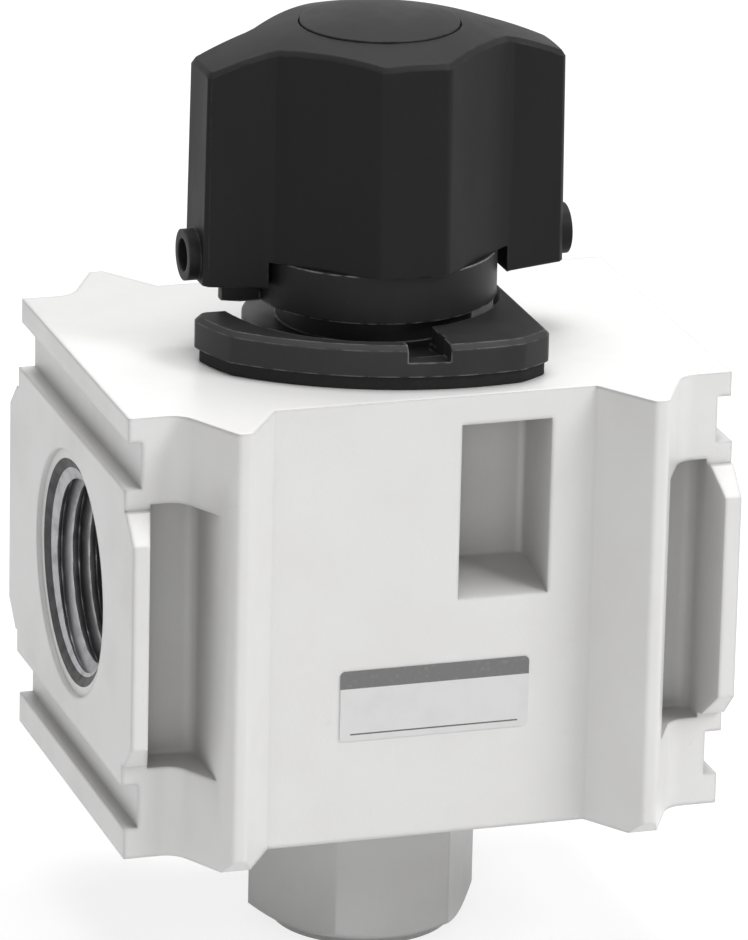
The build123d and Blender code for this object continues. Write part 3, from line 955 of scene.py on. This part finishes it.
@dataclass
class CastBody(Part):
    """The white casting, its two threaded ports and the blank label."""

    body: Assembly = Assembly.HOUSING
    pitch: float = 1.814 * MM
    mouth_radius: float = 12.58 * MM
    mouth_depth: float = 1.63 * MM
    rim_depth: float = 0.52 * MM
    bore_length: float = 14.0 * MM
    chamber_radius: float = 11.6 * MM
    skin: float = 0.01 * MM
    film_thickness: float = 0.14 * MM
    film_corner: float = 0.5 * MM
    film_steps: int = 48

    def thread(self, side: Side) -> tuple:
        """The thread of a port and its axis, from the face of the body inwards.

        Args:
            side: the end of the body.

        Returns:
            The thread and its axis.
        """
        mount = packed_mount(f"{side.name.lower()}_port")
        low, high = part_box("body")
        face = high.x if side is Side.OUTLET else low.x
        thread = PipeThread(pitch=self.pitch, minor_radius=mount["dims"]["r_mm"] * MM,
                            length=self.bore_length, mouth_radius=self.mouth_radius,
                            mouth_depth=self.mouth_depth)
        axis = Axis.through((face, mount["pos_m"][1], mount["pos_m"][2]), (-side.value, 0, 0))
        return thread, axis

    def film(self) -> bpy.types.Object:
        """Builds the label as a thin film with round corners.

        The outline is four quarter circles about the corner centres. The front and the back are that
        outline shrunk to the middle, a film's thickness apart. The turn starts a quarter step on, so
        that no point lies between two corners.

        Returns:
            The new object.
        """
        low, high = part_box("label_plate")
        middle = (low + high) / 2
        quarter_step = math.tau / self.film_steps / 4
        turn = np.linspace(0.0, math.tau, self.film_steps, endpoint=False) + quarter_step
        half_x = (high.x - low.x) / 2 - self.film_corner
        half_z = (high.z - low.z) / 2 - self.film_corner
        x = np.sign(np.cos(turn)) * half_x + self.film_corner * np.cos(turn)
        z = np.sign(np.sin(turn)) * half_z + self.film_corner * np.sin(turn)
        front = high.y - self.film_thickness
        rows = [(0.0, front), (1.0, front), (1.0, high.y), (0.0, high.y)]
        points = np.array([np.stack([middle.x + s * x, np.full_like(x, y), middle.z + s * z], axis=-1)
                           for s, y in rows])
        piece = surface_object("label_film", points, False, True)
        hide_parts("label_plate")
        return piece

    def bare_faces(self, casting: bpy.types.Object, thread: PipeThread) -> np.ndarray:
        """Finds the machined faces that are painted dark as shade: those inside the chambers, and those
        behind the port rims.

        Args:
            casting: the casting.
            thread: the thread of the ports.

        Returns:
            One truth value for each face.
        """
        low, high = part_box("body")
        port = packed_mount("outlet_port")["pos_m"]
        faces = casting.data.polygons
        centre = np.empty(3 * len(faces))
        faces.foreach_get("center", centre)
        x, y, z = centre.reshape(-1, 3).T
        inside = (z > low.z + self.skin) & (z < high.z - self.skin)
        chamber = inside & (np.hypot(x, y) < self.chamber_radius)
        behind = np.abs(x) < high.x - self.rim_depth
        return chamber | behind & (np.hypot(y - port[1], z - port[2]) < thread.mouth_radius)

    def build(self) -> None:
        """Makes the casting, its threads and the label, and dresses them."""
        enamel = Enamel("white_enamel", value=0.72, soil=0.30).material()
        # Painted shade inside the ports: the chambers and the walls behind the port rims get a near-black
        # metal, and the threads darken in their roots.
        shaded_bore_metal = TurnedMetal("chamber_metal", (0.07, 0.07, 0.072, 1.0), 0.50, Lay.ALONG_X, recess_shade=0.9)
        threaded = TurnedMetal("port_metal", (0.42, 0.42, 0.43, 1.0), 0.42, Lay.ALONG_X, recess_shade=0.97)
        thread_finish = threaded.material()
        casting = merged_copy("body", "body_casting")
        for side in Side:
            thread, axis = self.thread(side)
            thread.cut_into(casting, axis)
            self.add(thread.lining(f"{side.name.lower()}_port_thread", axis), thread_finish, "white_paint")
        smooth_with_creases(casting)
        self.add(casting, enamel, "white_paint")
        casting.data.materials.append(shaded_bore_metal.material())
        bare = self.bare_faces(casting, thread).astype(np.int32)
        casting.data.polygons.foreach_set("material_index", bare)
        low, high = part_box("label_plate")
        self.add(self.film(), PrintedFilm("label_print", low, high).material(), "label")


@dataclass
class ExhaustBoss(Part):
    """The hexagon under the body with its threaded bore."""

    body: Assembly = Assembly.HOUSING
    pitch: float = 1.337 * MM
    mouth_radius: float = 8.68 * MM
    mouth_depth: float = 1.2 * MM
    bore_length: float = 11.4 * MM
    thread_steps: int = 128

    def build(self) -> None:
        """Makes the hexagon and its thread, and dresses them."""
        coat = Enamel("boss_coat", value=0.52, soil=0.35, gloss=0.40, edge=0.55 * MM).material()
        bright = TurnedMetal("boss_metal", (0.66, 0.66, 0.66, 1.0), 0.30).material()
        mount = packed_mount("exhaust_port")
        thread = PipeThread(pitch=self.pitch, minor_radius=mount["dims"]["r_mm"] * MM,
                            length=self.bore_length, mouth_radius=self.mouth_radius,
                            mouth_depth=self.mouth_depth, steps=self.thread_steps)
        axis = Axis.through((0, 0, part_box("exhaust_fitting")[0].z), (0, 0, 1))
        hexagon = merged_copy("exhaust_fitting", "exhaust_boss")
        thread.cut_into(hexagon, axis)
        smooth_with_creases(hexagon)
        self.add(hexagon, coat, "grey_metal")
        self.add(thread.lining("exhaust_port_thread", axis), bright, "grey_metal")


@dataclass
class InnerWorks(Part):
    """The pieces inside the body that stay with it."""

    body: Assembly = Assembly.HOUSING
    rubber_nodes: tuple = ("bonnet_seal", "rod_seal", "seat_seal", "fitting_seal")
    brass_nodes: tuple = ("guide_bush", "supply_seat", "spring_guide")
    wire_crease: float = 75.0

    def spring(self) -> bpy.types.Object:
        """Copies the spring with smooth shading, as a mesh of its own.

        Returns:
            The new object.
        """
        piece = smooth_copy("return_spring", "spring_coil", self.wire_crease)
        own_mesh(piece)
        return piece

    def build(self) -> None:
        """Dresses the seals, the brass pieces and the spring."""
        rubber = Rubber("seal_rubber").material()
        brass = TurnedMetal("brass", (0.72, 0.52, 0.24, 1.0), 0.26).material()
        wire = TurnedMetal("spring_wire", (0.46, 0.47, 0.49, 1.0), 0.30).material()
        for node in self.rubber_nodes:
            self.dress(node, rubber)
        for node in self.brass_nodes:
            self.dress(node, brass)
        self.add(self.spring(), wire, "spring_steel")


@dataclass
class Spindle(Part):
    """The stem with its double poppet and the knob's fastening."""

    body: Assembly = Assembly.SPINDLE
    steel_nodes: tuple = ("stem", "poppet_washer", "knob_washer", "knob_screw")
    rubber_nodes: tuple = ("supply_disc", "exhaust_disc")

    def build(self) -> None:
        """Dresses the stem, the poppet and the screw."""
        steel = TurnedMetal("steel", (0.60, 0.61, 0.62, 1.0), 0.24).material()
        rubber = Rubber("disc_rubber").material()
        for node in self.steel_nodes:
            self.dress(node, steel)
        for node in self.rubber_nodes:
            self.dress(node, rubber)
        self.dress("poppet", TurnedMetal("poppet_brass", (0.70, 0.51, 0.25, 1.0), 0.28).material())


@dataclass
class Bonnet(Part):
    """The black bonnet with its guide plate, and the gasket under it, which also stands for the plate's
    shadow.
    """

    body: Assembly = Assembly.HOUSING

    def build(self) -> None:
        """Makes smooth copies of the bonnet and the gasket and dresses them."""
        # The pale edges at 0.26 are a painted highlight along the guide plate's rim.
        plastic = MouldedPlastic("bonnet_plastic", 0.014, 0.42, 0.26, wear_and_highlight_edge_value=0.26).material()
        self.add(smooth_copy("bonnet", "bonnet_shell"), plastic, "black_plastic")
        # The gasket's black band, wider than the guide plate at the front, is part gasket and part painted
        # shadow under the plate.
        rubber = Rubber("gasket_rubber").material()
        self.add(smooth_copy("bonnet_gasket", "gasket_sheet"), rubber, "dark_rubber")


@dataclass
class Knob(Part):
    """The winged knob with its cap, sleeve and lock tab."""

    body: Assembly = Assembly.HANDLE

    def build(self) -> None:
        """Makes smooth copies of the knob's pieces and dresses them."""
        grip = MouldedPlastic("grip_plastic").material()
        # The pale edges at 0.45 on the sleeve and the lock tab are a painted highlight.
        sleeve = MouldedPlastic("sleeve_plastic", 0.010, 0.44, 0.20, wear_and_highlight_edge_value=0.45).material()
        copies = (("knob", "knob_grip", grip), ("knob_cap", "crown_cap", grip),
                  ("knob_sleeve", "sleeve_shell", sleeve), ("lock_tab", "tab_arrow", sleeve))
        for node, name, finish in copies:
            self.add(smooth_copy(node, name), finish, "black_plastic")


# Studio


@dataclass(frozen=True)
class Softbox:
    """A square lamp that points at a target."""

    name: str
    place: tuple
    size: float
    power: float

    def build(self, target: Vector) -> None:
        """Hangs the lamp.

        Args:
            target: the point it faces.
        """
        lamp = bpy.data.lights.new(self.name, "AREA")
        lamp.shape = "SQUARE"
        lamp.size = self.size
        lamp.energy = self.power
        holder = bpy.data.objects.new(self.name, lamp)
        holder.location = self.place
        holder.rotation_euler = (target - Vector(self.place)).to_track_quat("-Z", "Y").to_euler()
        bpy.context.scene.collection.objects.link(holder)


@dataclass(frozen=True)
class Studio:
    """Pale floor, soft lamps, even surround and the camera of the photograph."""

    image_width: int = 748
    focal_pixels: float = 7452.3
    azimuth: float = -17.896
    elevation: float = 18.911
    roll: float = -1.289
    distance: float = 756.3 * MM
    target: tuple = (0.0, 0.0, 46.5 * MM)
    shift_pixels: tuple = (4.51, 14.96)
    sensor: float = 36.0
    near_clip: float = 0.05
    floor_half: float = 3.0
    floor_paper: float = 0.72
    floor_glow: float = 0.80
    floor_value: float = 0.24
    surround: float = 0.22
    lamps: tuple[Softbox, ...] = (
        Softbox("key", (0.90, -0.75, 0.90), 0.5, 11.0),
        Softbox("top", (0.05, 0.20, 1.30), 0.9, 17.0),
        Softbox("fill", (-0.55, -1.20, 0.35), 0.6, 3.0),
    )

    def seen_directly(self, tree: bpy.types.NodeTree) -> bpy.types.NodeSocket:
        """A switch that is 1 for camera, glossy and transmission rays.

        Args:
            tree: the node tree that needs it.

        Returns:
            The switch's socket.
        """
        path = tree.nodes.new("ShaderNodeLightPath")
        total = path.outputs["Is Camera Ray"]
        for key in ("Is Glossy Ray", "Is Transmission Ray"):
            larger = tree.nodes.new("ShaderNodeMath")
            larger.operation = "MAXIMUM"
            tree.links.new(total, larger.inputs[0])
            tree.links.new(path.outputs[key], larger.inputs[1])
            total = larger.outputs["Value"]
        return total

    def build_floor(self) -> None:
        """Lays the floor: white to the camera where it is lit, a little darker in the shadow."""
        half = self.floor_half
        line = np.linspace(-half, half, 2)
        x, y = np.meshgrid(line, line, indexing="ij")
        points = np.stack([x, y, np.zeros_like(x)], axis=-1)
        floor = surface_object("floor", points, False, False)
        material = bpy.data.materials.new("floor_paper")
        material.use_nodes = True
        tree = material.node_tree
        tree.nodes.clear()
        output = tree.nodes.new("ShaderNodeOutputMaterial")
        plain = tree.nodes.new("ShaderNodeBsdfDiffuse")
        plain.inputs["Color"].default_value = grey(self.floor_paper)
        shaded = tree.nodes.new("ShaderNodeBsdfDiffuse")
        shaded.inputs["Color"].default_value = grey(self.floor_value)
        glow = tree.nodes.new("ShaderNodeEmission")
        glow.inputs["Strength"].default_value = self.floor_glow
        both = tree.nodes.new("ShaderNodeAddShader")
        tree.links.new(shaded.outputs["BSDF"], both.inputs[0])
        tree.links.new(glow.outputs["Emission"], both.inputs[1])
        choose = tree.nodes.new("ShaderNodeMixShader")
        tree.links.new(self.seen_directly(tree), choose.inputs["Fac"])
        tree.links.new(plain.outputs["BSDF"], choose.inputs[1])
        tree.links.new(both.outputs["Shader"], choose.inputs[2])
        tree.links.new(choose.outputs["Shader"], output.inputs["Surface"])
        floor.data.materials.append(material)

    def build_world(self) -> None:
        """Sets the surround: an even pale light, and white where it is seen or reflected."""
        world = bpy.data.worlds.new("surround")
        bpy.context.scene.world = world
        world.use_nodes = True
        tree = world.node_tree
        tree.nodes.clear()
        output = tree.nodes.new("ShaderNodeOutputWorld")
        background = tree.nodes.new("ShaderNodeBackground")
        strength = tree.nodes.new("ShaderNodeMapRange")
        strength.inputs["To Min"].default_value = self.surround
        strength.inputs["To Max"].default_value = 1.0
        tree.links.new(self.seen_directly(tree), strength.inputs["Value"])
        tree.links.new(strength.outputs["Result"], background.inputs["Strength"])
        background.inputs["Color"].default_value = grey(1.0)
        tree.links.new(background.outputs["Background"], output.inputs["Surface"])

    def build_camera(self) -> None:
        """Places the camera at the photograph's viewing angle."""
        azimuth, elevation, roll = (math.radians(a) for a in (self.azimuth, self.elevation, self.roll))
        away = Vector((math.sin(azimuth) * math.cos(elevation), -math.cos(azimuth) * math.cos(elevation),
                       math.sin(elevation)))
        level = Vector((math.cos(azimuth), math.sin(azimuth), 0.0))
        upright = away.cross(level)
        right = math.cos(roll) * level - math.sin(roll) * upright
        up = math.sin(roll) * level + math.cos(roll) * upright
        lens = bpy.data.cameras.new("camera")
        lens.sensor_fit = "HORIZONTAL"
        lens.sensor_width = self.sensor
        lens.lens = self.focal_pixels / self.image_width * self.sensor
        lens.shift_x = self.shift_pixels[0] / self.image_width
        lens.shift_y = self.shift_pixels[1] / self.image_width
        lens.clip_start = self.near_clip
        camera = bpy.data.objects.new("camera", lens)
        turn = Matrix((right, up, away)).transposed().to_4x4()
        camera.matrix_world = Matrix.Translation(Vector(self.target) + away * self.distance) @ turn
        bpy.context.scene.collection.objects.link(camera)
        bpy.context.scene.camera = camera

    def build(self) -> None:
        """Sets up everything around the object."""
        bpy.context.scene.view_settings.view_transform = "Standard"
        self.build_floor()
        self.build_world()
        self.build_camera()
        for lamp in self.lamps:
            lamp.build(Vector(self.target))


def main() -> None:
    """Builds the studio and every sub-assembly in order, and logs the pieces of each."""
    logging.basicConfig(level=logging.INFO, format="%(message)s")
    Studio().build()
    for part in (CastBody(), ExhaustBoss(), InnerWorks(), Spindle(), Bonnet(), Knob()):
        part.build()
        part.report()


if __name__ == "__main__":
    main()
